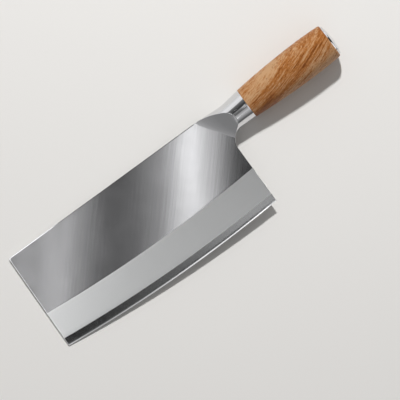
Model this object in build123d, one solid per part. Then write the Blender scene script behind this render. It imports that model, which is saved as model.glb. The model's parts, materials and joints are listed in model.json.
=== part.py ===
from build123d import *

import math
import os

# A broad kitchen cleaver with a round wooden grip, lying on its side.
# It is built in the blade's own frame: the plate's middle is at Z = 0, the heel at X = 0 and the spine at
# Y = 0, with the cutting edge towards -Y and the handle towards +X. At the end the whole knife is laid on
# the surface it rests on, which is Z = 0, with the origin in the middle of its length and width.
# Lengths are in millimetres and angles in degrees.

# Blade plate
spine_length = 197.7
toe_lean = 1.25  # the toe leans outwards, towards the edge
toe_height = 83.4
heel_height = 87.0
edge_bow = 4.25  # how far the cutting edge bows below its chord
plate_thickness = 2.3
toe_corner_radius = 1.2

# Grinds, each measured from the cutting edge towards the spine
grind_width = 31.8
facet_width = 6.9
facet_thickness = 1.4  # plate thickness left where the facet starts
honed_width = 0.9
honed_thickness = 0.42

# Weld line between plate and neck, from the spine down to the rounded heel
weld_reach = 17.4  # how far it starts in front of the heel, on the spine
weld_end_angle = 40  # where it ends on the heel fillet, from the heel edge round
tongue_length = 25.0  # the thin tongue of the plate that is let into the neck
tongue_height = 11.0
tongue_thickness = 1.4
tongue_drop = 12.6  # middle of the tongue below the spine
tongue_gap = 0.1

# Neck
neck_length = 26.0
neck_radius = 12.75  # where it meets the grip
neck_width = 23.7  # across the waist, from side to side
neck_underside = 24.0  # below the spine
neck_dip = 1.0  # how far the neck's top dips below the spine
neck_dip_place = 7.0  # behind the heel
heel_fillet = 12.0
ramp_angle_spine = 24.2  # slope of the ramps at the spine end of the weld line
ramp_angle_heel = 36.0
tenon_radius = 8.0
tenon_length = 6.0

# Handle, along an axis that rises a little towards the spine's side
handle_drop = 11.4  # axis below the spine, where the neck meets the grip
handle_pitch = 1.1
grip_length = 81.5
belly_radius = 15.4
belly_place = 58.0  # behind the neck
grip_rear_radius = 14.5
grip_corner = 1.6
fit_gap = 0.05  # between round pieces that fit into each other

# Rod, resin, nut and washer
rod_radius = 4.0
rod_seat = 9.0  # depth of the rod's seat inside the neck
resin_wall = 1.2
pocket_radius = 8.5
pocket_depth = 15.0
washer_radius = 8.0
washer_thickness = 1.6
nut_across_flats = 13.0
nut_height = 6.5
thread_end = 1.5  # rod standing out of the nut

# End cap
cap_radius = 12.8
cap_rim = 1.3
cap_dome = 1.6
plug_length = 4.5

overrun = 2.0  # how far cutting shapes reach past what they cut
neck_stations = 7  # ovals between the weld line's lower end and the grip
round_share = 0.5523  # of a quarter oval's sides, where the curve's inner points lie
ramp_overlap_share = 0.35  # of the weld line, added at each end of the ramps' cutters

half_plate = plate_thickness / 2
toe_top = Vector(-spine_length, 0)
toe_corner = Vector(-spine_length - toe_height * math.tan(math.radians(toe_lean)), -toe_height)
heel_corner = Vector(0, -heel_height)
fillet_centre = Vector(heel_fillet, -neck_underside - heel_fillet)


def fillet_point(angle):
    """Point on the fillet between heel edge and neck: 0 is on the heel edge, 90 under the neck."""
    turn = math.radians(angle)
    return fillet_centre + Vector(-math.cos(turn), math.sin(turn)) * heel_fillet


weld_top = Vector(-weld_reach, 0)
weld_bottom = fillet_point(weld_end_angle)
weld_along = (weld_bottom - weld_top).normalized()
weld_across = Vector(-weld_along.Y, weld_along.X)  # towards the neck
joint = Vector(neck_length, -handle_drop)
handle_place = Location(joint, (0, 0, handle_pitch))

# The cutting edge is one long arc over the chord from toe to heel
edge_chord = heel_corner - toe_corner
edge_inward = Vector(-edge_chord.Y, edge_chord.X).normalized()
edge_radius = (edge_chord.length**2 / 4 + edge_bow**2) / (2 * edge_bow)
edge_centre = (heel_corner + toe_corner) / 2 + edge_inward * (edge_radius - edge_bow)


def below_edge(outward):
    """Point outside the cutting edge, in the given direction from the edge arc's centre."""
    return edge_centre + outward.normalized() * (edge_radius + overrun)


def plate_outline():
    """Plan of the plate. Its lower side is an arc a little outside the cutting edge, ground away later."""
    below_heel = below_edge(heel_corner - edge_centre)
    below_toe = below_edge(toe_corner - edge_centre)
    below_middle = below_edge(edge_inward * -1)
    heel_top = fillet_point(0)
    sides = Polyline(below_toe, toe_corner, toe_top, weld_top, weld_bottom)
    round_heel = ThreePointArc(weld_bottom, fillet_point(weld_end_angle / 2), heel_top)
    heel = Polyline(heel_top, heel_corner, below_heel)
    lower = ThreePointArc(below_heel, below_middle, below_toe)
    face = make_face(sides + round_heel + heel + lower)
    corner = face.vertices().sort_by_distance(toe_top)[0]
    return fillet(corner, toe_corner_radius)


def grind_cutter():
    """What the grinds take off both sides: a notched profile turned about the edge arc's centre."""
    outer = edge_radius + 2 * overrun
    start = edge_radius - grind_width
    upper = [
        (outer, plate_thickness),
        (start, plate_thickness),
        (start, half_plate),
        (edge_radius - facet_width, facet_thickness / 2),
        (edge_radius - honed_width, honed_thickness / 2),
    ]
    lower = [(place, -height) for place, height in reversed(upper)]
    notched = make_face(Polyline(*upper, (edge_radius, 0), *lower, close=True))
    sweep = 2 * math.degrees(math.asin((spine_length / 2 + toe_height) / edge_radius))
    upright = Plane(origin=edge_centre, x_dir=(0, -1, 0), z_dir=(-1, 0, 0))
    pivot = Axis(edge_centre, (0, 0, 1))
    return revolve(upright * notched, pivot, sweep).rotate(pivot, -sweep / 2)


def tongue(gap):
    """Thin tongue that runs from inside the plate into the neck."""
    return Pos(-weld_reach, -tongue_drop, 0) * Box(
        tongue_length + gap,
        tongue_height + 2 * gap,
        tongue_thickness + 2 * gap,
        align=(Align.MIN, Align.CENTER, Align.CENTER),
    )


def make_blade():
    plate = extrude(plate_outline(), half_plate, both=True)
    return plate - grind_cutter() + tongue(0)


def neck_top(x):
    """Upper outline of the neck: it eases down from the spine, then rises straight to the grip."""
    if x < neck_dip_place:
        share = max(0, (x + weld_reach) / (neck_dip_place + weld_reach))
        return -neck_dip * (1 - math.cos(math.pi * share)) / 2
    share = (x - neck_dip_place) / (neck_length - neck_dip_place)
    return -neck_dip + share * (neck_dip + neck_radius - handle_drop)


def neck_bottom(x):
    """Lower outline of the neck: level under the neck, then down the heel fillet to the weld line."""
    along = heel_fillet - min(max(x, weld_bottom.X), heel_fillet)
    return fillet_centre.Y + math.sqrt(heel_fillet**2 - along**2)


def oval(plane, half_height, half_width):
    """Oval face of four quarter curves, its height along the plane's X."""
    side = [Vector(half_height, 0), Vector(0, half_width), Vector(-half_height, 0), Vector(0, -half_width)]
    quarters = []
    for start, end in zip(side, side[1:] + side[:1]):
        quarters.append(Bezier(start, start + end * round_share, end + start * round_share, end))
    return plane * make_face(Curve() + quarters)


def neck_section(x):
    """Oval section of the neck at one place along it."""
    top = neck_top(x)
    bottom = neck_bottom(x)
    share = max(0, (x - heel_fillet) / (neck_length - heel_fillet))
    half_width = neck_width / 2 + share * (neck_radius - neck_width / 2)
    upright = Plane(origin=(x, (top + bottom) / 2, 0), x_dir=(0, 1, 0), z_dir=(1, 0, 0))
    return oval(upright, (top - bottom) / 2, half_width)


def neck_body():
    """The neck before its ramps are cut: ovals that follow the fillet at the heel and the round grip."""
    step = (neck_length - weld_bottom.X) / neck_stations
    behind = [neck_section(weld_bottom.X + step * number) for number in range(neck_stations)]
    turn = math.radians(handle_pitch)
    along = Vector(math.cos(turn), math.sin(turn))
    behind.append(oval(Plane(joint, Vector(-along.Y, along.X), along), neck_radius, neck_radius))
    front = -weld_reach - overrun
    ahead = [neck_section(front), neck_section((front + weld_bottom.X) / 2), neck_section(weld_bottom.X)]
    return loft(behind) + loft(ahead)


def ramp_slope(share):
    start = math.tan(math.radians(ramp_angle_spine))
    end = math.tan(math.radians(ramp_angle_heel))
    return start + (end - start) * share


def ramp_cutter():
    """Wedge above the ramp on one side. The ramp starts on the weld line, at the plate's face."""
    run = (neck_radius + overrun) / ramp_slope(-ramp_overlap_share)
    weld_length = (weld_bottom - weld_top).length
    ends = []
    for share in (-ramp_overlap_share, 1 + ramp_overlap_share):
        slope = ramp_slope(share)
        high = half_plate + run * slope
        wedge = Polyline((-overrun, half_plate - overrun * slope), (run, high), (-overrun, high), close=True)
        start = weld_top + weld_along * (share * weld_length)
        ends.append(Plane(origin=start, x_dir=weld_across, z_dir=weld_along) * make_face(wedge))
    return loft(ends, ruled=True)


def bar(radius, start, end):
    """Round bar along the handle's axis."""
    return Pos(start, 0, 0) * Rot(0, 90, 0) * Cylinder(
        radius, end - start, align=(Align.CENTER, Align.CENTER, Align.MIN)
    )


def make_bolster():
    far = spine_length
    in_front = Plane(origin=weld_top, x_dir=weld_across, z_dir=weld_along) * Box(
        far, far, 2 * far, align=(Align.MAX, Align.CENTER, Align.CENTER)
    )
    cutter = ramp_cutter()
    body = neck_body() - in_front - cutter - mirror(cutter, about=Plane.XY)
    tenon = handle_place * bar(tenon_radius, -rod_seat, tenon_length)
    seat = handle_place * bar(rod_radius + fit_gap, -rod_seat, tenon_length + overrun)
    return body + tenon - seat - tongue(tongue_gap)


def pocket_floor():
    """Where the nut pocket ends inside the grip, measured from the neck."""
    return grip_length - pocket_depth


def make_grip():
    belly = (belly_place, belly_radius)
    front = TangentArc(belly, (0, neck_radius), tangent=(-1, 0))
    rear = TangentArc(belly, (grip_length, grip_rear_radius), tangent=(1, 0))
    closing = Polyline((0, neck_radius), (0, 0), (grip_length, 0), (grip_length, grip_rear_radius))
    profile = make_face(front + rear + closing)
    corner = profile.vertices().sort_by_distance((grip_length, grip_rear_radius))[0]
    body = revolve(fillet(corner, grip_corner), Axis.X)
    body -= bar(tenon_radius + fit_gap, -overrun, tenon_length)
    body -= bar(rod_radius + resin_wall, 0, grip_length)
    return body - bar(pocket_radius, pocket_floor(), grip_length + overrun)


def make_resin():
    sleeve = bar(rod_radius + resin_wall - fit_gap, tenon_length, pocket_floor())
    return sleeve - bar(rod_radius + fit_gap, 0, grip_length)


def make_rod():
    end = pocket_floor() + washer_thickness + nut_height + thread_end
    return bar(rod_radius, -rod_seat, end)


def make_washer():
    start = pocket_floor()
    disc = bar(washer_radius, start, start + washer_thickness)
    return disc - bar(rod_radius + fit_gap, 0, grip_length)


def make_nut():
    start = pocket_floor() + washer_thickness
    hexagon = Pos(start, 0, 0) * Rot(0, 90, 0) * RegularPolygon(nut_across_flats / 2, 6, major_radius=False)
    return extrude(hexagon, nut_height) - bar(rod_radius + fit_gap, 0, grip_length)


def make_cap():
    rim = (grip_length + cap_rim, cap_radius)
    crown = (grip_length + cap_rim + cap_dome, 0)
    dome = TangentArc(crown, rim, tangent=(0, 1))
    closing = Polyline(rim, (grip_length, cap_radius), (grip_length, 0), crown)
    disc = revolve(make_face(dome + closing), Axis.X)
    return disc + bar(pocket_radius - fit_gap, grip_length - plug_length, grip_length + cap_rim / 2)


def rest_tilt():
    """Tilt at which the toe's lower face and the grip's belly touch one flat surface.

    The grip's front curve is an arc, so this is the tangent from the toe to that arc."""
    rise = belly_radius - neck_radius
    arc_radius = (belly_place**2 + rise**2) / (2 * rise)
    grind_corner = toe_height - grind_width
    toe_x = -spine_length - grind_corner * math.tan(math.radians(toe_lean))
    across = neck_length + belly_place * math.cos(math.radians(handle_pitch)) - toe_x
    up = arc_radius - belly_radius + half_plate
    return math.degrees(math.asin(arc_radius / math.hypot(across, up)) - math.atan2(up, across))


nodes = {
    "blade": make_blade(),
    "bolster": make_bolster(),
    "handle_grip": handle_place * make_grip(),
    "bore_resin": handle_place * make_resin(),
    "tang_rod": handle_place * make_rod(),
    "tang_washer": handle_place * make_washer(),
    "tang_nut": handle_place * make_nut(),
    "end_cap": handle_place * make_cap(),
}

laid = {name: Rot(0, -rest_tilt(), 0) * solid for name, solid in nodes.items()}
box = Compound([solid for node in laid.values() for solid in node.solids()]).bounding_box()
to_origin = Pos(-box.center().X, -box.center().Y, -box.min.Z)
os.makedirs("parts", exist_ok=True)
for name, solid in laid.items():
    export_step(to_origin * solid, f"parts/{name}.step")
print("tilt", rest_tilt(), "box", box.size)
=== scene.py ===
import json
import math

import bmesh
import bpy
import numpy as np
from mathutils import Matrix, Vector


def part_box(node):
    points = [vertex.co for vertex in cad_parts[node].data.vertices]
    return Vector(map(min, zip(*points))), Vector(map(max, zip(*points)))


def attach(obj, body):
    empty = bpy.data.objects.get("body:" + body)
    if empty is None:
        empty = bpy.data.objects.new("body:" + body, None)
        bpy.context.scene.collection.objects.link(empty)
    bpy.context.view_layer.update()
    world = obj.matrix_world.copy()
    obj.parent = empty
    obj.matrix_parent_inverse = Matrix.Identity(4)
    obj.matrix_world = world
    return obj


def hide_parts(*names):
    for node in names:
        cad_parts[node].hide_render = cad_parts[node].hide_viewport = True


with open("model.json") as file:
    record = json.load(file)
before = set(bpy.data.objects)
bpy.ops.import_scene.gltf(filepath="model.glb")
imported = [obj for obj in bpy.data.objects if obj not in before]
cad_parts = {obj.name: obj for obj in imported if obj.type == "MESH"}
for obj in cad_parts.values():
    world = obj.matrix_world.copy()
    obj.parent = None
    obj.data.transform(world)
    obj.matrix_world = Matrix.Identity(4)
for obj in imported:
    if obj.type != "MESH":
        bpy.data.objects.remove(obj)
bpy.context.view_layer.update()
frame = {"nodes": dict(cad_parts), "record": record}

# A broad kitchen cleaver with a round wooden grip, lying on its side on a pale floor. Shapes are worked
# out in the knife's own frame, in millimetres: the heel at x 0, the spine at y 0 and the plate's middle
# at z 0, the cutting edge towards -y and the handle towards +x.
mm = 0.001  # metres in a millimetre
mergeReach = 0.002 * mm  # points closer than this become one


def angleOf(degrees):
    return math.radians(degrees)


def mixed(start, end, share):
    return start + (end - start) * share


def directionOf(aside, fromZenith):
    # A unit vector, by degrees round from the handle's direction and degrees from the zenith
    turn, lean = angleOf(aside), angleOf(fromZenith)
    return Vector((math.cos(turn) * math.sin(lean), math.sin(turn) * math.sin(lean), math.cos(lean)))


# Blade plate

plate = {
    "spineLength": 197.7,
    "toeLean": 1.25,  # degrees that the toe leans outwards
    "toeHeight": 83.4,
    "heelHeight": 87.0,
    "edgeBow": 4.25,  # of the cutting edge below its chord
    "thickness": 2.3,
    "toeCorner": 1.2,  # radius of the corner between spine and toe
    "rounding": 0.25,  # of the plate's long edges, where the polishing wheel has broken them
    "roundingShare": 0.8,  # the most of a thin border's height that the rounding takes
    "flatHeight": 54,  # about, from the spine down to the grind line
    "grindWidth": 31.8,  # this and the next three are measured from the cutting edge
    "grindWidthToe": 30.8,
    "facetWidth": 6.9,
    "honedWidth": 1.0,
    "facetThickness": 1.4,  # plate left where the facet starts
    "honedThickness": 0.42,
    "edgeThickness": 0.04,
}
weld = {
    "reach": 17.4,  # how far in front of the heel the neck's ramps start, on the spine
    "endAngle": 40,  # where the weld line ends on the heel fillet
    "filletRadius": 12.0,
    "slopeSpine": 24.2,  # degrees that the ramp climbs at the spine end of the weld line
    "slopeHeel": 36.0,
    "startShare": 0.55,  # of a ramp's mean slope, right behind the weld line
    "lastShare": 1.2,  # and far behind it
    "hollow": 7.0,  # length over which the slope grows
}
neck = {
    "length": 26.0,
    "radius": 12.75,  # where it meets the grip
    "width": 23.7,  # across the waist
    "underside": 24.0,  # below the spine
    "dip": 1.0,
    "dipPlace": 7.0,
    "dipBend": 5.0,  # length over which the dip turns into the rise
    "rampCrease": 0.15,  # softness of the line where ramp meets round neck
    "tenonRadius": 8.0,
    "tenonLength": 6.0,
    "rodRadius": 4.05,
    "rodSeat": 9.0,
    "stations": 120,
    "halfSides": 130,
    "roundPower": 6,  # the higher, the nearer to the grip the section becomes its circle
}
handle = {
    "drop": 11.4,  # the axis below the spine, where neck meets grip
    "pitch": 1.1,  # degrees
}

tanLean = math.tan(angleOf(plate["toeLean"]))
halfPlate = plate["thickness"] / 2
toeCorner = np.array([-plate["spineLength"] - plate["toeHeight"] * tanLean, -plate["toeHeight"]])
heelCorner = np.array([0.0, -plate["heelHeight"]])

# The cutting edge is one long arc over the chord from toe to heel
edgeChord = heelCorner - toeCorner
chordLength = np.linalg.norm(edgeChord)
edgeRadius = (chordLength**2 / 4 + plate["edgeBow"] ** 2) / (2 * plate["edgeBow"])
edgeInward = np.array([-edgeChord[1], edgeChord[0]]) / chordLength
edgeCentre = (heelCorner + toeCorner) / 2 + edgeInward * (edgeRadius - plate["edgeBow"])

filletCentre = np.array([weld["filletRadius"], -neck["underside"] - weld["filletRadius"]])
weldTurn = angleOf(weld["endAngle"])
weldTop = np.array([-weld["reach"], 0.0])
weldBottom = filletCentre + weld["filletRadius"] * np.array([-math.cos(weldTurn), math.sin(weldTurn)])
weldLength = np.linalg.norm(weldBottom - weldTop)
weldAlong = (weldBottom - weldTop) / weldLength
weldAcross = np.array([-weldAlong[1], weldAlong[0]])  # towards the neck

# How the knife lies: tilted to rest on toe and grip, as the blade's flat faces say
mounts = {mount["name"]: mount for mount in frame["record"]["mounts"]}
faceNormal = Vector(mounts["upper_blade_face"]["axis"])
plateMiddle = sum((Vector(mount["pos_m"]) for mount in mounts.values()), Vector()) / len(mounts)
restTilt = math.atan2(-faceNormal.x, faceNormal.z)
bladeLow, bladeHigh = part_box("blade")
heelX = bladeLow.x - toeCorner[0] * mm * math.cos(restTilt)
heelZ = plateMiddle.z - (plateMiddle.x - heelX) * math.tan(restTilt)
knifeToScene = Matrix.Translation((heelX, bladeHigh.y, heelZ)) @ Matrix.Rotation(-restTilt, 4, "Y")
handleStart = Vector((neck["length"], -handle["drop"], 0)) * mm
handleToKnife = Matrix.Translation(handleStart) @ Matrix.Rotation(angleOf(handle["pitch"]), 4, "Z")
handleToScene = knifeToScene @ handleToKnife


def placed(points, place=knifeToScene):
    # Points in millimetres, turned and moved by a matrix into the scene's frame, in metres
    turn = np.array(place.to_3x3())
    return points * mm @ turn.T + np.array(place.translation)


def addObject(name, data):
    thing = bpy.data.objects.new(name, data)
    bpy.context.scene.collection.objects.link(thing)
    return thing


def joinLoops(number):
    # Four-sided faces between neighbouring rows of numbered points, where each row is a closed loop
    near, far = number[:-1], number[1:]
    return np.stack([near, far, np.roll(far, -1, 1), np.roll(near, -1, 1)], -1).reshape(-1, 4)


def mergeDoubles(mesh):
    shape = bmesh.new()
    shape.from_mesh(mesh)
    bmesh.ops.remove_doubles(shape, verts=shape.verts, dist=mergeReach)
    shape.to_mesh(mesh)
    shape.free()


def makeShell(name, grid, creaseAngle=35, zones=None, smooth=True, loopOfStations=False):
    # A closed skin over a grid of stations, each a closed loop of points. Where a first or last station
    # is folded flat onto a line or a point, its doubled points are merged, which closes that end. The
    # signed volume, the sum of each triangle's wedge from the origin, says whether the faces have to be
    # turned. The zones are the faces' material numbers.
    stations, sides = grid.shape[:2]
    number = np.arange(stations * sides).reshape(stations, sides)
    if loopOfStations:
        number = np.vstack([number, number[:1]])
    faces = joinLoops(number)
    points = grid.reshape(-1, 3)
    a, b, c, d = (points[faces[:, corner]] for corner in range(4))
    volume = np.einsum("ij,ij->", a, np.cross(b, c)) + np.einsum("ij,ij->", a, np.cross(c, d))
    if volume < 0:
        faces = faces[:, ::-1]
    mesh = bpy.data.meshes.new(name)
    mesh.from_pydata(points.tolist(), [], faces.tolist())
    if zones is not None:
        mesh.polygons.foreach_set("material_index", np.ascontiguousarray(zones, np.int32).ravel())
    mesh.polygons.foreach_set("use_smooth", np.full(len(faces), smooth))
    mergeDoubles(mesh)
    mesh.set_sharp_from_angle(angle=angleOf(creaseAngle))
    print(name, "has", len(mesh.polygons), "faces")
    return addObject(name, mesh)


def dress(piece, slot, *materials):
    # The piece gets its materials and its body. The slot is not used.
    for material in materials:
        piece.data.materials.append(material)
    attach(piece, "root")


# Materials

mirrorSteel = {
    "colour": "#DADADC",
    "roughness": 0.055,
    "haze": 0.03,  # roughness added by wiped polishing haze
    "hazeSize": 28,
    "waveLength": 55,  # millimetres between the shallow waves that the wheel leaves
    "waveDepth": 0.035,
    "lineSpacing": 2.0,  # fine lines of the wheel's grit, drawn many times coarser to show at all
    "lineLength": 70,
    "lineTurn": 48,  # degrees that the lines are turned from the knife's length
    "lineDepth": 0.004,
}
groundSteel = {
    "colour": "#F3F4F4",
    "roughness": 0.31,
    "spread": 0.03,
    "lineSpacing": 0.9,  # belt lines, drawn four times as coarse as a 120 grit belt leaves them
    "lineLength": 26,
    "lineDepth": 0.0035,
}
facetSteel = {
    "colour": "#CFD0D1",
    "roughness": 0.12,
    "spread": 0.03,
    "lineSpacing": 0.8,  # drawn coarser than a 400 grit belt leaves them
    "lineLength": 5,
    "lineDepth": 0.006,
}
honedSteel = {
    "colour": "#EEEFF0",
    "roughness": 0.14,
    "spread": 0.04,
    "lineSpacing": 0.7,  # drawn coarser than a whetstone leaves them
    "lineLength": 2,
    "lineDepth": 0.004,
}
neckSteel = {
    "colour": "#DEDEE0",
    "roughness": 0.06,
    "haze": 0.03,
    "hazeSize": 9,
    "waveLength": 12,
    "waveDepth": 0.012,
    "lineSpacing": 0.8,  # drawn coarser, as on the plate
    "lineLength": 20,
    "lineTurn": 0,
    "lineDepth": 0.0004,
}
wood = {
    "pale": "#B89068",
    "warm": "#9C6029",
    "dark": "#683207",
    "pore": "#66340E",
    "roughness": 0.46,
    "gloss": 0.22,  # specular level: the pores swallow much of the sheen
    "coat": 0.045,  # the oil film
    "coatRoughness": 0.3,
    "slope": 0.2,  # rise of the grain across the grip for each millimetre along it, at the neck
    "bend": 0.00154,  # how fast that rise grows along the grip
    "depthLean": 0.35,  # how the layers lean through the wood's depth, counted from the top
    "top": 14.0,
    "wander": 1.5,  # millimetres that the layers stray
    "wanderSize": 15,
    "wanderStretch": 2,  # how much longer the waves are along the grip
    # Sizes are along, across and through the layers. Real fibre lines and pores are about 0.2
    # millimetres across, so both are drawn coarser to show.
    "patchSize": (26, 5, 12),
    "patchContrast": 0.2,
    "bandSize": (22, 1.3, 8),
    "bandContrast": 0.24,
    "fibreSize": (3.6, 0.7, 1.4),
    "fibreContrast": 0.38,
    "fibreDepth": 0.06,
    "poreSize": (3.2, 0.95, 1.5),
    "poreFade": (0.12, 0.4),  # from a pore's dark middle to its border, as a share of its size
    "poreStrength": 0.75,
    "clusterSize": (11, 2.6, 6),  # of the places where pores crowd
    "clusterFade": (0.4, 0.62),  # values of the patches between which pores begin to crowd
    "strayPores": 0.1,  # strength of the pores elsewhere
    "smoother": 0.05,  # how far the roughness goes down and up with the fibres
    "rougher": 0.08,
    "toneStops": (0.05, 0.5, 1.0),  # darkness at which the wood is pale, warm and dark
    "lineEase": 12,  # millimetres over which a line starts and ends
    # Darkness from 0 to 1 by millimetres across the layers. Mostly the grain's own tone; the paler
    # values beyond -20, where the layers reach the grip's lower side, are painted light that lifts the
    # shade there
    "grainAndPaintedFillTones": [
        (-34, 0.2),
        (-24, 0.26),
        (-20.5, 0.46),
        (-16, 0.52),
        (-12, 0.46),
        (-9, 0.36),
        (-4.8, 0.4),
        (-2.6, 0.2),
        (3, 0.1),
        (9, 0.2),
        (16, 0.4),
        (24, 0.3),
    ],
    # Dark lines, or pale ones where the strength is negative: place across the layers, half width,
    # strength, start and end along the grip
    "lines": [
        (-4.6, 0.9, 0.4, -8, 46),
        (-9.3, 0.6, 0.25, 4, 52),
        (-12.8, 0.7, 0.35, 22, 66),
        (-15.0, 1.6, -0.35, 48, 95),
        (-18.4, 1.3, 0.6, 44, 80),
        (-21.6, 0.6, 0.3, 40, 90),
        (-24.8, 0.8, 0.4, 56, 95),
        (-29, 0.8, 0.35, 60, 95),
    ],
}

eased = {"interpolation_type": "SMOOTHSTEP"}  # for a range that starts and ends softly


def linearColour(hexColour):
    # sRGB hex to linear: the power law above its short straight foot
    parts = np.array([int(hexColour[place : place + 2], 16) for place in (1, 3, 5)]) / 255
    linear = np.where(parts <= 0.04045, parts / 12.92, ((parts + 0.055) / 1.055) ** 2.4)
    return (*(float(part) for part in linear), 1.0)


def setInputs(tree, node, inputs):
    # An input is a plain value, another node's output, or a node, which stands for its first output
    for name, value in inputs.items():
        if isinstance(value, bpy.types.Node):
            value = value.outputs[0]
        if isinstance(value, bpy.types.NodeSocket):
            tree.links.new(value, node.inputs[name])
        else:
            node.inputs[name].default_value = value


def addNode(tree, kind, inputs=(), **settings):
    # One node with its own settings. Its inputs are given by name, or as a row in their own order.
    node = tree.nodes.new(kind)
    for name, value in settings.items():
        setattr(node, name, value)
    setInputs(tree, node, inputs if isinstance(inputs, dict) else dict(enumerate(inputs)))
    return node


def startMaterial(name):
    material = bpy.data.materials.new(name)
    material.use_nodes = True
    tree = material.node_tree
    return material, tree, tree.nodes["Principled BSDF"]


def millimetresIn(tree, place):
    # Object coordinates turned back into a maker's frame, in millimetres
    back = place.inverted()
    inputs = {
        "Vector": addNode(tree, "ShaderNodeTexCoord").outputs["Object"],
        "Location": back.translation / mm,
        "Rotation": back.to_euler(),
        "Scale": Vector((1 / mm,) * 3),
    }
    return addNode(tree, "ShaderNodeMapping", inputs)


def addPatches(tree, vector, size, detail=2.0, roughness=0.5):
    # Soft random patches, about as long as each size in the vector's unit, mostly from 0.3 to 0.7
    scale = Vector([1 / part for part in size])
    inputs = {
        "Vector": addNode(tree, "ShaderNodeMapping", {"Vector": vector, "Scale": scale}),
        "Scale": 1.0,
        "Detail": detail,
        "Roughness": roughness,
    }
    return addNode(tree, "ShaderNodeTexNoise", inputs)


def levelColour(level):
    return (level, level, level, 1.0)


def addLevels(tree, value, levels):
    # A curve of brightness over a value, with its stops at the value's own places
    first, last = levels[0][0], levels[-1][0]
    share = addNode(tree, "ShaderNodeMapRange", (value, first, last, 0.0, 1.0))
    ramp = addNode(tree, "ShaderNodeValToRGB", (share,))
    ramp.color_ramp.interpolation = "EASE" if len(levels) > 2 else "LINEAR"
    stops = ramp.color_ramp.elements
    for number, (place, level) in enumerate(levels):
        share = (place - first) / (last - first)
        stop = stops[0] if number == 0 else stops[-1] if number == len(levels) - 1 else stops.new(share)
        stop.position, stop.color = share, levelColour(level)
    return ramp


def mirrorPolished(name, look):
    # Martensitic stainless steel, mirror-polished on a soft wheel: clear reflections of whatever stands
    # round it, bent a little by shallow waves, streaked by the wheel's lines and dulled by faint haze
    material, tree, shader = startMaterial(name)
    vector = millimetresIn(tree, knifeToScene)
    haze = addPatches(tree, vector, (look["hazeSize"],) * 3, detail=3.0)
    low, high = look["roughness"], look["roughness"] + look["haze"]
    wave = addPatches(tree, vector, (look["waveLength"],) * 3, detail=0.0)
    turn = (0, 0, -angleOf(look["lineTurn"]))
    alongLines = addNode(tree, "ShaderNodeMapping", {"Vector": vector, "Rotation": turn})
    lines = addPatches(tree, alongLines, (look["lineLength"], look["lineSpacing"], look["lineSpacing"]))
    fine = addNode(tree, "ShaderNodeMath", (lines, look["lineDepth"]), operation="MULTIPLY")
    relief = (wave, look["waveDepth"], fine)
    relief = addNode(tree, "ShaderNodeMath", relief, operation="MULTIPLY_ADD")
    inputs = {
        "Metallic": 1.0,
        "Base Color": linearColour(look["colour"]),
        "Roughness": addNode(tree, "ShaderNodeMapRange", (haze, 0.35, 0.7, low, high), **eased),
        "Normal": addNode(tree, "ShaderNodeBump", {"Height": relief, "Distance": mm, "Strength": 1.0}),
    }
    setInputs(tree, shader, inputs)
    return material


def linedMetal(name, look, place, size, noise):
    # Metal with lines cut by grit or a tool: noise stretched along them gives roughness and fine relief
    material, tree, shader = startMaterial(name)
    lines = addPatches(tree, millimetresIn(tree, place), size, **noise)
    low, high = look["roughness"] - look["spread"], look["roughness"] + look["spread"]
    relief = {"Height": lines, "Distance": look["lineDepth"] * mm, "Strength": 1.0}
    inputs = {
        "Metallic": 1.0,
        "Base Color": linearColour(look["colour"]),
        "Roughness": addNode(tree, "ShaderNodeMapRange", (lines, 0.3, 0.7, low, high), **eased),
        "Normal": addNode(tree, "ShaderNodeBump", relief),
    }
    setInputs(tree, shader, inputs)
    return material


def beltGround(name, look):
    # The same steel, ground across the edge on a belt: a soft even sheen with fine parallel lines
    size = (look["lineSpacing"], look["lineLength"], look["lineLength"])
    return linedMetal(name, look, knifeToScene, size, {"detail": 3.0, "roughness": 0.6})


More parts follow.
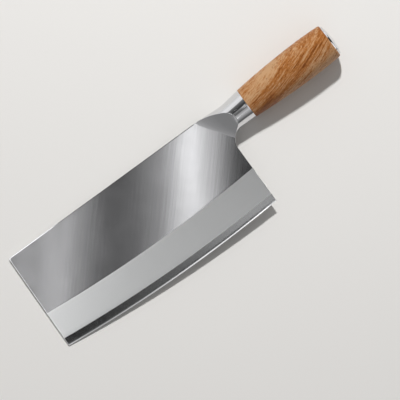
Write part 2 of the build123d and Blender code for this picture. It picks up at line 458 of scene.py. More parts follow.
def oiledWood(name, look):
    # Dense tropical hardwood, turned, sanded and oiled: slanting wavy layers from pale tan to brown,
    # made paler again on the grip's shaded lower side as painted light, fine fibre lines and short dark
    # pores along them, under a thin satin oil film
    material, tree, shader = startMaterial(name)
    vector = millimetresIn(tree, handleToScene)
    axes = addNode(tree, "ShaderNodeSeparateXYZ", (vector,)).outputs
    along, across, depth = axes["X"], axes["Y"], axes["Z"]

    # The layers' coordinate: across the grip, less a rise that grows along it, leaning with depth
    wanderSize = look["wanderSize"]
    wander = addPatches(tree, vector, (wanderSize * look["wanderStretch"], wanderSize, wanderSize))
    stray = addNode(tree, "ShaderNodeMapRange", (wander, 0, 1, -look["wander"], look["wander"]))
    slope = (along, look["bend"], look["slope"])
    slope = addNode(tree, "ShaderNodeMath", slope, operation="MULTIPLY_ADD")
    rise = addNode(tree, "ShaderNodeMath", (along, slope), operation="MULTIPLY")
    level = addNode(tree, "ShaderNodeMath", (across, rise), operation="SUBTRACT")
    fromTop = addNode(tree, "ShaderNodeMath", (depth, look["top"]), operation="SUBTRACT")
    leaning = (fromTop, look["depthLean"], stray)
    leaning = addNode(tree, "ShaderNodeMath", leaning, operation="MULTIPLY_ADD")
    layer = addNode(tree, "ShaderNodeMath", (level, leaning), operation="ADD")
    grain = addNode(tree, "ShaderNodeCombineXYZ", (along, layer, depth))

    patches = addPatches(tree, grain, look["patchSize"])
    bands = addPatches(tree, grain, look["bandSize"], detail=3.0, roughness=0.65)
    fibres = addPatches(tree, grain, look["fibreSize"], detail=3.0, roughness=0.7)
    # The tone is partly painted light: the table's paler far end brightens the grip's shaded lower side
    tone = addLevels(tree, layer, look["grainAndPaintedFillTones"])
    for noise, kind in ((patches, "patch"), (bands, "band"), (fibres, "fibre")):
        contrast = look[kind + "Contrast"]
        part = addNode(tree, "ShaderNodeMapRange", (noise, 0.28, 0.72, -contrast, contrast))
        tone = addNode(tree, "ShaderNodeMath", (tone, part), operation="ADD")
    ease = look["lineEase"]
    for place, halfWidth, strength, start, end in look["lines"]:
        away = addNode(tree, "ShaderNodeMath", (layer, place), operation="SUBTRACT")
        away = addNode(tree, "ShaderNodeMath", (away,), operation="ABSOLUTE")
        band = addNode(tree, "ShaderNodeMapRange", (away, 0, halfWidth, strength, 0.0), **eased)
        grow = addNode(tree, "ShaderNodeMapRange", (along, start, start + ease, 0.0, 1.0), **eased)
        fade = addNode(tree, "ShaderNodeMapRange", (along, end - ease, end, 1.0, 0.0), **eased)
        share = addNode(tree, "ShaderNodeMath", (grow, fade), operation="MULTIPLY")
        tone = addNode(tree, "ShaderNodeMath", (band, share, tone), operation="MULTIPLY_ADD")
    ramp = addNode(tree, "ShaderNodeValToRGB", (tone,))
    stops = ramp.color_ramp.elements
    stops[0].position, stops[0].color = look["toneStops"][0], linearColour(look["pale"])
    stops[1].position, stops[1].color = look["toneStops"][2], linearColour(look["dark"])
    stops.new(look["toneStops"][1]).color = linearColour(look["warm"])

    # Pores are short dark dashes along the fibres
    scale = Vector([1 / part for part in look["poreSize"]])
    dashes = addNode(tree, "ShaderNodeMapping", {"Vector": grain, "Scale": scale})
    cells = addNode(tree, "ShaderNodeTexVoronoi", {"Vector": dashes, "Scale": 1.0}).outputs["Distance"]
    fade = (cells, *look["poreFade"], look["poreStrength"], 0.0)
    pores = addNode(tree, "ShaderNodeMapRange", fade, **eased)
    clusters = addPatches(tree, grain, look["clusterSize"])
    fade = (clusters, *look["clusterFade"], look["strayPores"], 1.0)
    clusters = addNode(tree, "ShaderNodeMapRange", fade, **eased)
    pores = addNode(tree, "ShaderNodeMath", (pores, clusters), operation="MULTIPLY")
    low, high = look["roughness"] - look["smoother"], look["roughness"] + look["rougher"]
    height = addNode(tree, "ShaderNodeMath", (fibres, pores), operation="SUBTRACT")
    relief = {"Height": height, "Distance": look["fibreDepth"] * mm, "Strength": 1.0}
    inputs = {
        "Base Color": addNode(tree, "ShaderNodeMixRGB", (pores, ramp, linearColour(look["pore"]))),
        "Roughness": addNode(tree, "ShaderNodeMapRange", (fibres, 0.3, 0.7, low, high), **eased),
        "Specular IOR Level": look["gloss"],
        "Coat Weight": look["coat"],
        "Coat Roughness": look["coatRoughness"],
        "Normal": addNode(tree, "ShaderNodeBump", relief),
    }
    setInputs(tree, shader, inputs)
    return material


polishedPlate = mirrorPolished("mirror_polished_stainless", mirrorSteel)
satinBand = beltGround("belt_ground_stainless", groundSteel)
satinFacet = beltGround("fine_ground_stainless", facetSteel)
honedEdge = beltGround("honed_stainless", honedSteel)
polishedNeck = mirrorPolished("wheel_polished_stainless", neckSteel)
gripWood = oiledWood("oiled_turned_hardwood", wood)
print("materials made")


# Blade

def rampRise(x, y):
    # Height of the neck's ramps over the plate's face, by the distance behind the weld line. The slope
    # grows by an exponential towards its last value: slightly hollow, as a wheel leaves it.
    along = ((x - weldTop[0]) * weldAlong[0] + (y - weldTop[1]) * weldAlong[1]) / weldLength
    behind = (x - weldTop[0]) * weldAcross[0] + (y - weldTop[1]) * weldAcross[1]
    slope = mixed(math.tan(angleOf(weld["slopeSpine"])), math.tan(angleOf(weld["slopeHeel"])), along)
    past = np.clip(behind, 0, None)
    low, high, hollow = weld["startShare"], weld["lastShare"], weld["hollow"]
    return slope * (high * past - (high - low) * hollow * (1 - np.exp(-past / hollow)))


def roundedOff(height, border):
    # The edge's rounding: height less what a quarter circle takes off near the border
    radius = np.minimum(plate["rounding"], plate["roundingShare"] * height)
    inside = np.clip(border, 0, radius)
    return height - radius + np.sqrt(np.clip(radius**2 - (radius - inside) ** 2, 0, None))


def toeLine(y):
    # Front of the plate at height y: the leaning toe, with a round corner at the spine
    radius = plate["toeCorner"]
    rise = np.clip(y + radius, 0, radius)
    return -plate["spineLength"] + y * tanLean + radius - np.sqrt(radius**2 - rise**2)


def rearLine(y):
    # Rear of the plate at height y: weld line, then heel fillet, then the straight heel
    onWeld = weldTop[0] + (y - weldTop[1]) * weldAlong[0] / weldAlong[1]
    fromCentre = np.clip(y - filletCentre[1], 0, weld["filletRadius"])
    onFillet = filletCentre[0] - np.sqrt(weld["filletRadius"] ** 2 - fromCentre**2)
    return np.where(y > weldBottom[1], onWeld, onFillet)


def edgeArc(x, inset):
    # The cutting edge's arc, moved inwards
    return edgeCentre[1] - np.sqrt((edgeRadius - inset) ** 2 - (x - edgeCentre[0]) ** 2)


def grindInset(x):
    # Width of the ground band, which narrows a little towards the toe
    return mixed(plate["grindWidth"], plate["grindWidthToe"], x / toeCorner[0])


bladeGrid = {
    "roundingSteps": 5,
    "firstRow": 0.012,  # share of the flat's height at which the even rows start
    "flatRows": 44,
    "bandRows": 10,
    "facetRows": 4,
    "honedRows": 3,
    "columns": 70,
    "nextColumns": (0.4, 0.8),  # millimetres from the rounding to the first even column
    "passes": 12,  # in which the ends of the rows settle
}


def bladeRows():
    # The plate in plan, as rows from spine to edge. Above the grind line a row is a share of that
    # line's depth, and below it the rows are arcs that run with the cutting edge. The columns are close
    # together at both ends, where the borders are rounded. A row's zone is the number of its finish: 0
    # polished, 1 belt-ground, 2 facet and 3 honed.
    quarter = np.linspace(0, math.pi / 2, bladeGrid["roundingSteps"])
    steps = plate["rounding"] * (1 - np.cos(quarter))
    evenShares = np.linspace(bladeGrid["firstRow"], 1, bladeGrid["flatRows"])
    flat = np.concatenate([steps / plate["flatHeight"], evenShares])
    band = np.linspace(1, 0, bladeGrid["bandRows"])[1:]
    facet = np.linspace(plate["facetWidth"], plate["honedWidth"], bladeGrid["facetRows"])[1:]
    honed = np.linspace(plate["honedWidth"], 0, bladeGrid["honedRows"])[1:]
    low = np.concatenate([facet, honed])
    share = np.concatenate([flat, np.zeros(len(band) + len(low))])[:, None]
    inset = np.concatenate([np.full(len(flat) + len(band), plate["facetWidth"]), low])[:, None]
    bandShare = np.concatenate([np.ones(len(flat)), band, np.zeros(len(low))])[:, None]
    upper = (np.arange(len(share)) < len(flat))[:, None]

    def rowHeight(x):
        arc = edgeArc(x, mixed(inset, grindInset(x), bandShare))
        return np.where(upper, share * arc, arc)

    # A row's ends depend on its height there, so both are worked out in turn until they agree
    start, end = np.full(share.shape, toeCorner[0]), np.zeros(share.shape)
    for _ in range(bladeGrid["passes"]):
        start = toeLine(rowHeight(start))
        end = rearLine(rowHeight(end))
    near = np.concatenate([steps, bladeGrid["nextColumns"]])
    middle = np.linspace(0, 1, bladeGrid["columns"])[1:-1]
    between = start + near[-1] + (end - start - near[-1] - near[-1]) * middle
    x = np.concatenate([start + near, between, end - near[::-1]], axis=1)
    zone = np.where(inset < plate["honedWidth"], 3, np.where(inset < plate["facetWidth"], 2, 1))
    zone = np.where(upper, 0, zone)[1:, 0]
    return x, rowHeight(x), zone


def bladeHeight(x, y):
    # Half of the plate's thickness: three grinds by the distance from the edge, and rounded borders
    inset = edgeRadius - np.hypot(x - edgeCentre[0], y - edgeCentre[1])
    places = [0, plate["honedWidth"], plate["facetWidth"]]
    thickness = [plate["edgeThickness"], plate["honedThickness"], plate["facetThickness"]]
    height = np.interp(inset, places, np.array(thickness) / 2)
    bandShare = np.clip((inset - plate["facetWidth"]) / (grindInset(x) - plate["facetWidth"]), 0, 1)
    height = roundedOff(height + (halfPlate - plate["facetThickness"] / 2) * bandShare, -y)
    corner = plate["toeCorner"]
    cornerX = -plate["spineLength"] + corner
    toCorner = corner - np.hypot(np.clip(cornerX - x, 0, None), np.clip(y + corner, 0, None))
    fromToe = np.where(y > -corner, toCorner, x - toeLine(y))
    height = roundedOff(height, fromToe)
    fillet = np.hypot(x - filletCentre[0], y - filletCentre[1]) - weld["filletRadius"]
    fromHeel = np.where(y > filletCentre[1], fillet, -x)
    return np.where(y > weldBottom[1], height, roundedOff(height, fromHeel))


def makeBlade():
    x, y, zone = bladeRows()
    height = bladeHeight(x, y)
    upper = np.stack([x, y, height], -1)
    lower = np.stack([x, y, -height], -1)[::-1]
    loop = np.concatenate([upper, lower]).transpose(1, 0, 2)
    flat = loop * np.array([1, 1, 0])
    grid = np.concatenate([flat[:1], loop, flat[-1:]])
    # The spine's back, the toe's end and the heel are belt-ground
    aroundZone = np.concatenate([zone, [3], zone[::-1], [1]])
    zones = np.tile(aroundZone, (len(grid) - 1, 1))
    zones[0] = zones[-1] = 1
    return makeShell("cleaver_blade", placed(grid), zones=zones, smooth=False)


blade = makeBlade()
dress(blade, "polished_plate", polishedPlate, satinBand, satinFacet, honedEdge)
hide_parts("blade")


# Bolster

handleTurn = angleOf(handle["pitch"])
neckEnd = np.array([neck["length"], -handle["drop"]])
acrossHandle = np.array([-math.sin(handleTurn), math.cos(handleTurn)])
neckEndTop = neckEnd + acrossHandle * neck["radius"]
neckEndBottom = neckEnd - acrossHandle * neck["radius"]


def neckTop(x):
    # Upper outline: a cosine dip below the spine, then a short parabola into a straight rise
    share = np.clip((x + weld["reach"]) / (neck["dipPlace"] + weld["reach"]), 0, 1)
    past = np.clip(x - neck["dipPlace"], 0, None)
    bend = neck["dipBend"]
    rise = (neckEndTop[1] + neck["dip"]) / (neckEndTop[0] - neck["dipPlace"] - bend / 2)
    risen = rise * np.where(past < bend, past**2 / (2 * bend), past - bend / 2)
    return risen - neck["dip"] * (1 - np.cos(math.pi * share)) / 2


def neckBottom(x):
    # Lower outline: level under the neck, easing to the grip, with the heel fillet in front of it
    radius = weld["filletRadius"]
    before = radius - np.clip(x, weldBottom[0], radius)
    share = np.clip((x - radius) / (neckEndBottom[0] - radius), 0, 1)
    toGrip = (neckEndBottom[1] + neck["underside"]) * share**2
    return filletCentre[1] + np.sqrt(radius**2 - before**2) + toGrip


def makeBolster():
    # Stations turn from the weld line to the grip's round front. Each is an oval, lowered to the ramp
    # where the ramp is lower, with a smooth minimum that leaves a slightly soft crease. Behind the neck
    # come the tenon and the seat of the rod.
    turn = np.linspace(0, math.pi, neck["halfSides"] + 1)
    share = np.linspace(0, 1, neck["stations"])[:, None]
    topX = mixed(weldTop[0], neckEndTop[0], share)
    bottomX = mixed(weldBottom[0], neckEndBottom[0], share)
    down = (1 - np.cos(turn)) / 2
    x = mixed(topX, bottomX, down)
    y = mixed(neckTop(topX), neckBottom(bottomX), down)
    top, bottom = neckTop(x), neckBottom(x)
    widening = np.clip((x - weld["filletRadius"]) / (neck["length"] - weld["filletRadius"]), 0, 1)
    halfWidth = mixed(neck["width"] / 2, neck["radius"], widening)
    across = (2 * y - top - bottom) / (top - bottom)
    oval = halfWidth * np.sqrt(np.clip(1 - across**2, 0, None))
    oval = mixed(oval, neck["radius"] * np.sin(turn), share ** neck["roundPower"])
    ramp = halfPlate + rampRise(x, y)
    soft = neck["rampCrease"]
    overlap = np.clip(1 - np.abs(oval - ramp) / soft, 0, None)
    height = np.clip(np.minimum(oval, ramp) - overlap**2 * soft / 4, 0, None)
    height[:, [0, -1]] = 0
    upper = np.stack([x, y, height], -1)
    lower = upper[:, -2:0:-1] * np.array([1, 1, -1])
    neckLoops = np.concatenate([upper, lower], 1)
    front = neckLoops[:1] * np.array([1, 1, 0])

    around = np.concatenate([turn, turn[1:-1] + math.pi])
    tenon = [
        (0, neck["tenonRadius"]),
        (neck["tenonLength"], neck["tenonRadius"]),
        (neck["tenonLength"], neck["rodRadius"]),
        (-neck["rodSeat"], neck["rodRadius"]),
        (-neck["rodSeat"], 0),
    ]
    rings = turned(tenon, around)
    behind = np.array(handleToKnife.to_3x3())
    rings = rings @ behind.T + np.array(handleToKnife.translation) / mm
    return makeShell("neck_bolster", placed(np.concatenate([front, neckLoops, rings])), creaseAngle=12)


def turned(profile, around):
    # A surface of revolution about the handle's axis: each profile point is (along, radius)
    along, radius = np.array(profile, float).T
    ring = np.stack([np.zeros_like(around), np.cos(around), np.sin(around)], -1)
    return radius[:, None, None] * ring + along[:, None, None] * np.array([1, 0, 0])


bolster = makeBolster()
dress(bolster, "polished_neck", polishedNeck)
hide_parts("bolster")


# Grip

grip = {
    "length": 81.5,
    "bellyRadius": 15.4,
    "bellyPlace": 58.0,
    "rearRadius": 14.5,
    "rearCorner": 1.6,
    "frontCorner": 0.25,
    "tenonRadius": 8.05,
    "boreRadius": 5.2,
    "pocketRadius": 8.5,
    "pocketDepth": 15.0,
    "stations": 90,
    "cornerSteps": 8,
    "frontSteps": 4,
    "sides": 160,
}
around = np.linspace(0, 2 * math.pi, grip["sides"] + 1)[:-1]


def arcSag(x, peak, place, end, endRadius):
    # Radius on an arc that is level at its peak and passes through the end's radius
    fall = peak - endRadius
    arcRadius = ((end - place) ** 2 + fall**2) / (2 * fall)
    return peak - arcRadius + np.sqrt(arcRadius**2 - (x - place) ** 2)


def makeGrip():
    # The outside is two arcs that meet level at the belly, with rounded ends. Inside are the seat of
    # the tenon, the bore and the pocket of the nut.
    corner, front = grip["rearCorner"], grip["frontCorner"]
    x = np.linspace(front, grip["length"] - corner, grip["stations"])
    before = arcSag(x, grip["bellyRadius"], grip["bellyPlace"], 0, neck["radius"])
    after = arcSag(x, grip["bellyRadius"], grip["bellyPlace"], grip["length"], grip["rearRadius"])
    radius = np.where(x < grip["bellyPlace"], before, after)
    turn = np.linspace(0, math.pi / 2, grip["cornerSteps"] + 1)[1:]
    rear = np.stack([x[-1] + corner * np.sin(turn), radius[-1] - corner * (1 - np.cos(turn))], -1)
    turn = np.linspace(math.pi / 2, 0, grip["frontSteps"] + 1)[:-1]
    nose = np.stack([x[0] - front * np.sin(turn), radius[0] - front * (1 - np.cos(turn))], -1)
    pocketFloor = grip["length"] - grip["pocketDepth"]
    inside = [
        (grip["length"], grip["pocketRadius"]),
        (pocketFloor, grip["pocketRadius"]),
        (pocketFloor, grip["boreRadius"]),
        (neck["tenonLength"], grip["boreRadius"]),
        (neck["tenonLength"], grip["tenonRadius"]),
        (0, grip["tenonRadius"]),
    ]
    profile = np.concatenate([nose, np.stack([x, radius], -1), rear, inside])
    rings = placed(turned(profile, around), handleToScene)
    return makeShell("turned_grip", rings, loopOfStations=True)


woodGrip = makeGrip()
dress(woodGrip, "oiled_wood", gripWood)
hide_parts("handle_grip")


# End cap

cap = {
    "radius": 12.8,
    "rim": 1.3,
    "dome": 1.6,
    "rimRounding": 0.3,
    "plugRadius": 8.45,
    "plugLength": 4.5,
    "domeSteps": 24,
    "rimSteps": 4,
}


def makeCap():
    # A disc with a short straight rim and a shallow spherical dome, and the plug that closes the pocket
    seat, rim, radius = grip["length"], cap["rim"], cap["radius"]
    domeRadius = (radius**2 + cap["dome"] ** 2) / (2 * cap["dome"])
    out = np.linspace(radius - cap["rimRounding"], 0, cap["domeSteps"])
    dome = seat + rim + cap["dome"] - domeRadius + np.sqrt(domeRadius**2 - out**2)
    rounding = np.linspace(0, math.pi / 2, cap["rimSteps"] + 1)[:-1]
    edge = cap["rimRounding"]
    rimX = dome[0] - edge * (1 - np.sin(rounding))
    rimRadius = radius - edge * (1 - np.cos(rounding))
    profile = np.concatenate(
        [
            [(seat - cap["plugLength"], 0), (seat - cap["plugLength"], cap["plugRadius"])],
            [(seat, cap["plugRadius"]), (seat, radius)],
            np.stack([rimX, rimRadius], -1),
            np.stack([dome, out], -1),
        ]
    )
    return makeShell("butt_cap", placed(turned(profile, around), handleToScene), creaseAngle=30)


buttCap = makeCap()
dress(buttCap, "polished_neck", polishedNeck)
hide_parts("end_cap")


# Hidden pieces, which keep their own shapes

castResin = {
    "colour": "#B98F55",
    "cloud": "#A67C45",
    "roughness": 0.3,
    "cloudSize": 3,
    "cloudStops": (0.35, 0.65),  # values of the patches that are all cloud and all clear
    "cloudDepth": 0.02,
}
turnedSteel = {
    "colour": "#B4B5B6",
    "roughness": 0.34,
    "spread": 0.06,
    "lineSpacing": 0.6,  # the feed of the tool, drawn about five times as coarse
    "lineLength": 40,
    "lineDepth": 0.01,
}


def castEpoxy(name, look):
    # Two-part epoxy, poured and cured in the bore: glossy amber with faint clouds
    material, tree, shader = startMaterial(name)
    clouds = addPatches(tree, millimetresIn(tree, handleToScene), (look["cloudSize"],) * 3, detail=3.0)
    ramp = addNode(tree, "ShaderNodeValToRGB", (clouds,))
    stops = ramp.color_ramp.elements
    stops[0].position, stops[0].color = look["cloudStops"][0], linearColour(look["cloud"])
    stops[1].position, stops[1].color = look["cloudStops"][1], linearColour(look["colour"])
    relief = {"Height": clouds, "Distance": look["cloudDepth"] * mm, "Strength": 1.0}
    inputs = {
        "Base Color": ramp,
        "Roughness": look["roughness"],
        "Normal": addNode(tree, "ShaderNodeBump", relief),
    }
    setInputs(tree, shader, inputs)
    return material


def latheTurned(name, look):
    # Mild steel, turned on a lathe: dull sheen with fine rings round the axis
    size = (look["lineSpacing"], look["lineLength"], look["lineLength"])
    return linedMetal(name, look, handleToScene, size, {"detail": 2.0})


boreResin = castEpoxy("cast_epoxy", castResin)
rodSteel = latheTurned("lathe_turned_steel", turnedSteel)
for node, material, slot in (
    ("bore_resin", boreResin, "cured_resin"),
    ("tang_rod", rodSteel, "plain_steel"),
    ("tang_washer", rodSteel, "plain_steel"),
    ("tang_nut", rodSteel, "plain_steel"),
):
    piece = frame["nodes"][node]
    piece.data.materials.clear()
    piece.data.materials.append(material)
print("pieces made")


# Camera, straight above, turned so that the handle points up to the right

view = {
    "height": 3.0,
    "pictureWidth": 314.8,  # millimetres of the knife's level that the picture shows
    "centre": (-3.9, -9.0),
    "handleRise": 36.0,  # degrees that the handle points above the picture's level
}
camera = addObject("camera", bpy.data.cameras.new("camera"))
bpy.context.scene.camera = camera
knifeLevel = plateMiddle.z
camera.location = (view["centre"][0] * mm, view["centre"][1] * mm, view["height"] + knifeLevel)
camera.rotation_euler = (0, 0, -angleOf(view["handleRise"]))
camera.data.sensor_width = 36
camera.data.lens = camera.data.sensor_width * view["height"] / (view["pictureWidth"] * mm)
camera.data.clip_end = 100


# Studio

studio = {
    "floor": "#E4E2DF",
    "floorRoughness": 0.85,
    "floorRings": (0.0, 0.4, 1.2, 4.0, 12.0),  # metres, out to the horizon of a low view
    "floorSides": 96,
    "keyLevel": 2.1,  # light that falls on the floor from the key lamp, where pi makes white look white
    "ambient": 0.31,
    "keyFromZenith": 39,
    "keyDistance": 2.0,
    "keySize": 0.13,
    "roomLevels": [(0.0, 0.8), (0.25, 0.68), (0.6, 0.42), (0.85, 0.12), (1.0, 0.06)],
    "roomPatch": (0.55, 0.55, 1.4),  # sizes on the unit sphere of directions
    "roomContrast": 0.38,
    "roomClear": (0.02, 0.14),  # heights over the horizon between which the room's patches fade in
}


def makeFloor():
    # A flat disc of rings
    turn = np.linspace(0, 2 * math.pi, studio["floorSides"] + 1)[:-1]
    ring = np.stack([np.cos(turn), np.sin(turn), np.zeros_like(turn)], -1)
    points = np.array(studio["floorRings"])[:, None, None] * ring
    number = np.arange(points[..., 0].size).reshape(points.shape[:2])
    mesh = bpy.data.meshes.new("floor")
    mesh.from_pydata(points.reshape(-1, 3).tolist(), [], joinLoops(number).tolist())
    mergeDoubles(mesh)
    floor = addObject("floor", mesh)
    material, tree, shader = startMaterial("matt_painted_board")
    inputs = {
        "Base Color": linearColour(studio["floor"]),
        "Roughness": studio["floorRoughness"],
        "Specular IOR Level": 0.0,
    }
    setInputs(tree, shader, inputs)
    floor.data.materials.append(material)


def makeWorld():
    # Seen directly or in the metal, the room is pale at the horizon and dark overhead. As a source of
    # light it is even.
    world = bpy.data.worlds.new("studio")
    bpy.context.scene.world = world
    world.use_nodes = True
    tree = world.node_tree
    tree.nodes.clear()
    direction = addNode(tree, "ShaderNodeTexCoord").outputs["Generated"]
    height = addNode(tree, "ShaderNodeSeparateXYZ", (direction,)).outputs["Z"]
    gradient = addLevels(tree, height, studio["roomLevels"])
    # Above the horizon the room is uneven, as windows and walls leave it, in soft patches
    patches = addPatches(tree, direction, studio["roomPatch"], detail=1.0)
    contrast = studio["roomContrast"]
    uneven = addNode(tree, "ShaderNodeMapRange", (patches, 0.35, 0.65, -contrast, contrast), **eased)
    clear = addNode(tree, "ShaderNodeMapRange", (height, *studio["roomClear"], 0.0, 1.0), **eased)
    strength = addNode(tree, "ShaderNodeMath", (uneven, clear, 1.0), operation="MULTIPLY_ADD")
    room = addNode(tree, "ShaderNodeBackground", {"Color": gradient, "Strength": strength})
    even = addNode(tree, "ShaderNodeBackground", {"Color": levelColour(studio["ambient"])})
    path = addNode(tree, "ShaderNodeLightPath").outputs
    mirrored = (path["Is Glossy Ray"], path["Is Transmission Ray"])
    mirrored = addNode(tree, "ShaderNodeMath", mirrored, operation="MAXIMUM")
    seen = addNode(tree, "ShaderNodeMath", (mirrored, path["Is Camera Ray"]), operation="MAXIMUM")
    both = addNode(tree, "ShaderNodeMixShader", (seen, even, room))
    addNode(tree, "ShaderNodeOutputWorld", {"Surface": both})


def makeKey():
    # One round lamp from the picture's top, which drops the shadow towards the picture's bottom
    direction = directionOf(90 - view["handleRise"], studio["keyFromZenith"])
    falling = math.cos(angleOf(studio["keyFromZenith"]))
    lamp = bpy.data.lights.new("keyLamp", "AREA")
    lamp.shape = "DISK"
    lamp.size = studio["keySize"]
    lamp.energy = studio["keyLevel"] * math.pi * studio["keyDistance"] ** 2 / falling
    key = addObject("keyLamp", lamp)
    key.location = direction * studio["keyDistance"]
    key.rotation_mode = "QUATERNION"
    key.rotation_quaternion = direction.to_track_quat("Z", "Y")
    key.visible_camera = False
    key.visible_glossy = False


# Panels that the metal mirrors. They give no light of their own to matt surfaces and never show
# directly. Each stands at a distance in a direction: degrees from the zenith, and degrees round from
# the handle's direction. Its levels run from its lower to its upper border, by degrees from the zenith,
# and 1 is white.
panels = {
    "spineSoftbox": {
        "round": 90,
        "distance": 1.2,
        "width": 1.5,
        "levels": [(86, 0.8), (66, 1.0), (43, 0.9)],
    },
    "edgeSoftbox": {
        "round": -90,
        "distance": 1.3,
        "width": 0.9,
        "levels": [(76, 0.14), (66, 0.28), (52, 0.46), (40, 0.62), (31, 0.46), (19, 0.27)],
    },
    "capSoftbox": {
        "round": -80,
        "distance": 1.15,
        "width": 0.22,
        "levels": [(80, 0.9), (50, 1.2), (15, 1.1)],
    },
    "capTopBox": {"round": 77, "distance": 1.15, "width": 0.22, "levels": [(45, 0.9), (27, 0.9)]},
    "edgeFlag": {"round": -90, "distance": 1.5, "width": 0.9, "levels": [(90, 0.16), (74, 0.13)]},
    "rampSoftbox": {
        "round": 215,
        "distance": 1.3,
        "width": 0.9,
        "levels": [
            (78, 0.24),
            (66, 0.25),
            (60, 0.28),
            (54, 0.31),
            (49, 0.33),
            (44, 0.39),
            (39, 0.43),
            (33, 0.55),
            (26, 0.85),
        ],
    },
}
# Level sheets over the knife: height in metres, corners in millimetres from the middle of the knife's
# box, and levels by millimetres along it
sheets = {
    "toeSheet": {
        "height": 1.0,
        "low": (-1000, -60),
        "high": (-340, 430),
        "levels": [(-1000, 0.35), (-760, 0.7), (-560, 1.6), (-430, 2.3), (-340, 2.3)],
    },
    "toeLowSheet": {
        "height": 1.0,
        "low": (-1000, -290),
        "high": (-470, -60),
        "levels": [(-1000, 0.35), (-760, 0.7), (-600, 1.5), (-470, 1.9)],
    },
    "spineSheet": {
        "height": 1.0,
        "low": (-340, 78),
        "high": (-255, 430),
        "levels": [(-340, 2.6), (-255, 2.3)],
    },
    "facetSheet": {
        "height": 1.0,
        "low": (-375, -270),
        "high": (10, -38),
        "levels": [(-375, 0.02), (-290, 0.02), (-180, 0.14), (-60, 0.5), (10, 0.45)],
    },
    "honingSheet": {
        "height": 0.3,
        "low": (-205, -208),
        "high": (-41, -134),
        "levels": [(-205, 0.4), (-150, 0.5), (-110, 0.65), (-75, 0.9), (-41, 1.2)],
    },
    "heelSheet": {
        "height": 0.15,
        "low": (-36, -128),
        "high": (27, -92),
        "levels": [(-36, 0.95), (-12, 1.05), (8, 1.3), (27, 2.0)],
    },
}
scrim = {
    "height": 1.0,
    "low": (-340, -38),
    "high": (-38, 72),
    "lean": 0.06,  # how much the dark band fans out from the bright one
    "leanRange": (-96, -6),  # right of the picture's middle, from the full lean to none
    "streak": 0.42,  # strength of the fine streaks that run with the bands
    "streakWidth": 6.0,
    "streakLength": 160,
}
# The scrim's brightness, by millimetres right of the picture's middle as the plate mirrors it: grey over
# the toe, a dark band, the bright band and a dark end over the heel
scrimStops = [
    (-160, 0.33),
    (-145, 0.36),
    (-104, 0.54),
    (-71, 0.12),
    (-55, 0.135),
    (-49, 0.18),
    (-32, 0.35),
    (-6, 1.14),
    (15, 0.51),
    (21, 0.24),
    (33, 0.06),
    (41, 0.035),
    (70, 0.03),
]


def makeGlow(name, low, high, place, drawLevel):
    # A flat sheet from corner to corner that glows by a pattern over its own coordinates, and that
    # only glossy rays meet
    material = bpy.data.materials.new(name + "Glow")
    material.use_nodes = True
    tree = material.node_tree
    tree.nodes.clear()
    coordinates = addNode(tree, "ShaderNodeTexCoord").outputs["Object"]
    glow = addNode(tree, "ShaderNodeEmission", {"Color": drawLevel(tree, coordinates)})
    addNode(tree, "ShaderNodeOutputMaterial", {"Surface": glow})
    mesh = bpy.data.meshes.new(name)
    corners = [(low[0], low[1], 0), (high[0], low[1], 0), (high[0], high[1], 0), (low[0], high[1], 0)]
    mesh.from_pydata(corners, [], [(0, 1, 2, 3)])
    mesh.materials.append(material)
    sheet = addObject(name, mesh)
    sheet.matrix_world = place
    sheet.visible_camera = False
    sheet.visible_diffuse = False
    sheet.visible_shadow = False


def makePanel(name, look):
    # The panel faces the knife at the middle of its range of angles, so a border lies at the distance
    # times the tangent of the angle from there
    distance = look["distance"]
    middle = (look["levels"][0][0] + look["levels"][-1][0]) / 2
    levels = [(distance * math.tan(angleOf(middle - angle)), level) for angle, level in look["levels"]]
    direction = directionOf(look["round"], middle)
    place = Matrix.Translation(direction * distance)
    place = place @ direction.to_track_quat("Z", "Y").to_matrix().to_4x4()
    side = look["width"] / 2

    def drawLevel(tree, coordinates):
        height = addNode(tree, "ShaderNodeSeparateXYZ", (coordinates,)).outputs["Y"]
        return addLevels(tree, height, levels)

    makeGlow(name, (-side, levels[0][0]), (side, levels[-1][0]), place, drawLevel)


def makeSheet(name, look, drawLevel=None):
    # The sheet lies level. Its brightness runs along the knife, unless another pattern is given.
    low, high = ([part * mm for part in look[corner]] for corner in ("low", "high"))

    def drawAlong(tree, coordinates):
        along = addNode(tree, "ShaderNodeSeparateXYZ", (coordinates,)).outputs["X"]
        return addLevels(tree, along, [(place * mm, level) for place, level in look["levels"]])

    makeGlow(name, low, high, Matrix.Translation((0, 0, look["height"])), drawLevel or drawAlong)


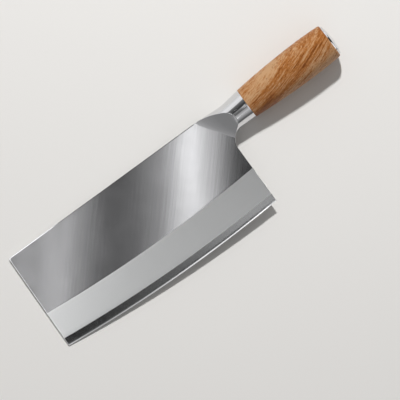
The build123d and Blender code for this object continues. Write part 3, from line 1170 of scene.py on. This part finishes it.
def mirroredUp(x, y):
    # Where the camera sees the scrim's height in the plate at a point: the face turns the ray back
    point = Vector((x, y, heelZ + (x - heelX) * math.tan(restTilt) + halfPlate * mm))
    ray = (point - camera.location).normalized()
    back = ray.reflect(faceNormal)
    return point + back * ((scrim["height"] - point.z) / back.z)


def drawScrim(tree, coordinates):
    # The pattern is worked out in the picture's own directions and in the millimetres that the plate
    # shows, so that the plate mirrors it as soft upright bands: a ramp across, which leans more towards
    # the toe, with fine streaks along it
    middle = Vector((view["centre"][0] * mm, view["centre"][1] * mm, 0))
    step = 0.1  # metres between two places, which show how much wider the pattern has to be up there
    here = mirroredUp(middle.x, middle.y)
    shrink = step / (mirroredUp(middle.x + step, middle.y).x - here.x) / mm
    turn = Matrix.Rotation(angleOf(view["handleRise"]), 4, "Z")
    inputs = {
        "Vector": coordinates,
        "Rotation": turn.to_euler(),
        "Scale": (shrink,) * 3,
        "Location": -(turn @ Vector((here.x, here.y, 0)) * shrink),
    }
    picture = addNode(tree, "ShaderNodeMapping", inputs)
    axes = addNode(tree, "ShaderNodeSeparateXYZ", (picture,)).outputs
    fan = (axes["X"], *scrim["leanRange"], scrim["lean"], 0.0)
    fan = addNode(tree, "ShaderNodeMapRange", fan, **eased)
    lean = addNode(tree, "ShaderNodeMath", (axes["Y"], fan), operation="MULTIPLY")
    across = addNode(tree, "ShaderNodeMath", (axes["X"], lean), operation="SUBTRACT")
    level = addLevels(tree, across, scrimStops)
    straight = addNode(tree, "ShaderNodeCombineXYZ", (across, axes["Y"]))
    size = (scrim["streakWidth"], scrim["streakLength"], 1)
    streaks = addPatches(tree, straight, size, roughness=0.6)
    low, high = 1 - scrim["streak"], 1 + scrim["streak"]
    strength = addNode(tree, "ShaderNodeMapRange", (streaks, 0.25, 0.75, low, high))
    return addNode(tree, "ShaderNodeVectorMath", (level, strength), operation="MULTIPLY")


makeFloor()
makeWorld()
makeKey()
for name, look in panels.items():
    makePanel(name, look)
for name, look in sheets.items():
    makeSheet(name, look)
makeSheet("scrim", scrim, drawScrim)
bpy.context.scene.view_settings.view_transform = "Standard"
print("studio made")
